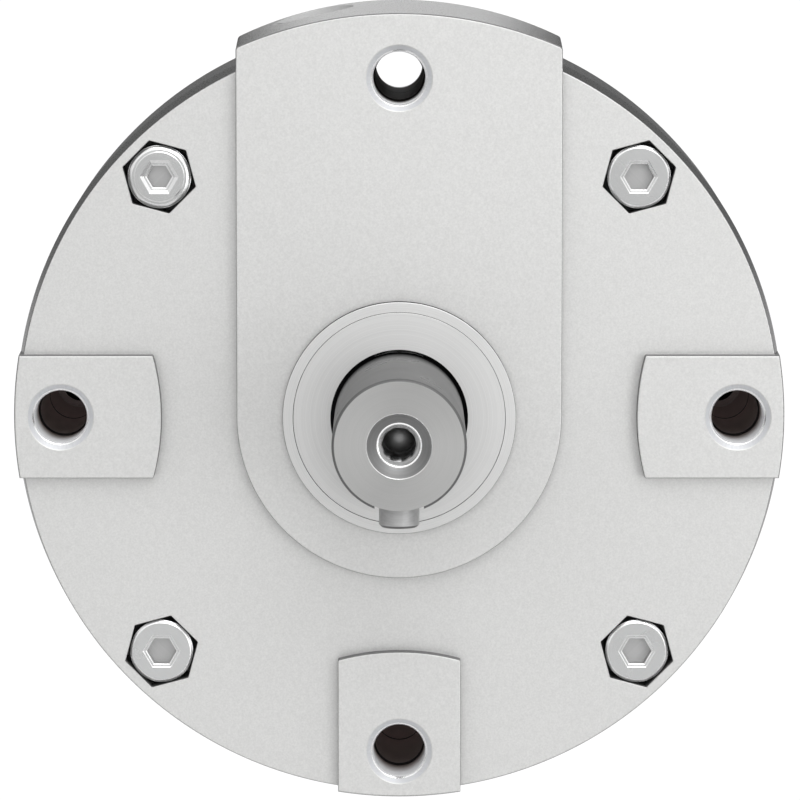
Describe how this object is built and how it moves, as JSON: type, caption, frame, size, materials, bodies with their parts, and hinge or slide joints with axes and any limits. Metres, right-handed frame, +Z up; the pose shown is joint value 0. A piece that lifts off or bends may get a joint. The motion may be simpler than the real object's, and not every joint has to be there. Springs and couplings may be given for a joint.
{
  "type": "rotary pneumatic actuator",
  "caption": "Round vane-type rotary pneumatic actuator with a keyed output shaft, a raised tongue, small mounting lugs and two air ports on top.",
  "frame": {"origin": "on the shaft axis, in the flat rear face of the body (the centre of the rear end cap)", "axes": "+Y runs along the shaft axis from the keyed end to the rear face, +Z points up to the tongue that carries the two air ports, +X to the right when the keyed shaft end is looked at"},
  "size_m": [0.1206, 0.0877, 0.1239],
  "materials": {
    "cast_housing": "fine bead-blasted light grey aluminium",
    "machined_aluminium": "satin turned aluminium",
    "bearing_steel": "ground and polished bearing steel",
    "cage_brass": "pressed brass",
    "seal_rubber": "matt black nitrile rubber",
    "cushion_elastomer": "amber polyurethane",
    "zinc_plated_steel": "bright zinc-plated steel",
    "shaft_steel": "fine turned stainless steel",
    "plain_steel": "ground steel, lightly oiled"
  },
  "bodies": {
    "housing": {"front_housing": "cast_housing", "rear_housing": "cast_housing", "front_cover_ring": "machined_aluminium", "rear_end_cap": "machined_aluminium", "front_bearing_outer_race": "bearing_steel", "rear_bearing_outer_race": "bearing_steel", "front_shaft_seal": "seal_rubber", "rear_shaft_seal": "seal_rubber", "housing_sealing_ring": "seal_rubber", "stator_block": "machined_aluminium", "stator_seal_strip": "seal_rubber", "end_cushion_left": "cushion_elastomer", "end_cushion_right": "cushion_elastomer", "stator_pin_lower": "plain_steel", "stator_pin_upper": "plain_steel", "dowel_pin_right": "plain_steel", "dowel_pin_left": "plain_steel", "clamp_screw_upper_left": "zinc_plated_steel", "clamp_screw_upper_right": "zinc_plated_steel", "clamp_screw_lower_left": "zinc_plated_steel", "clamp_screw_lower_right": "zinc_plated_steel", "clamp_nut_upper_left": "zinc_plated_steel", "clamp_nut_upper_right": "zinc_plated_steel", "clamp_nut_lower_left": "zinc_plated_steel", "clamp_nut_lower_right": "zinc_plated_steel"},
    "rotor": {"drive_shaft": "shaft_steel", "shaft_key": "plain_steel", "vane_key": "plain_steel", "vane": "machined_aluminium", "vane_seal": "cushion_elastomer", "front_bearing_inner_race": "bearing_steel", "rear_bearing_inner_race": "bearing_steel", "front_retaining_ring": "plain_steel", "rear_retaining_ring": "plain_steel"},
    "front_ball_set": {"front_bearing_cage": "cage_brass", "front_bearing_ball_01": "bearing_steel", "front_bearing_ball_02": "bearing_steel", "front_bearing_ball_03": "bearing_steel", "front_bearing_ball_04": "bearing_steel", "front_bearing_ball_05": "bearing_steel", "front_bearing_ball_06": "bearing_steel", "front_bearing_ball_07": "bearing_steel", "front_bearing_ball_08": "bearing_steel", "front_bearing_ball_09": "bearing_steel", "front_bearing_ball_10": "bearing_steel"},
    "rear_ball_set": {"rear_bearing_cage": "cage_brass", "rear_bearing_ball_01": "bearing_steel", "rear_bearing_ball_02": "bearing_steel", "rear_bearing_ball_03": "bearing_steel", "rear_bearing_ball_04": "bearing_steel", "rear_bearing_ball_05": "bearing_steel", "rear_bearing_ball_06": "bearing_steel", "rear_bearing_ball_07": "bearing_steel", "rear_bearing_ball_08": "bearing_steel", "rear_bearing_ball_09": "bearing_steel", "rear_bearing_ball_10": "bearing_steel"}
  },
  "joints": [
    {"name": "shaft_swivel", "type": "hinge", "parent": "housing", "child": "rotor", "pos_m": [0, 0, 0], "axis": [0, 1, 0], "range_deg": [-135, 135]},
    {"name": "front_ball_set_turn", "type": "hinge", "parent": "housing", "child": "front_ball_set", "pos_m": [0, -0.0449, 0], "axis": [0, 1, 0], "range_deg": [-60, 60]},
    {"name": "rear_ball_set_turn", "type": "hinge", "parent": "housing", "child": "rear_ball_set", "pos_m": [0, -0.0065, 0], "axis": [0, 1, 0], "range_deg": [-60, 60]}
  ],
  "couplings": [
    {"joint": "front_ball_set_turn", "follows": "shaft_swivel", "ratio": 0.44231},
    {"joint": "rear_ball_set_turn", "follows": "shaft_swivel", "ratio": 0.44231}
  ]
}
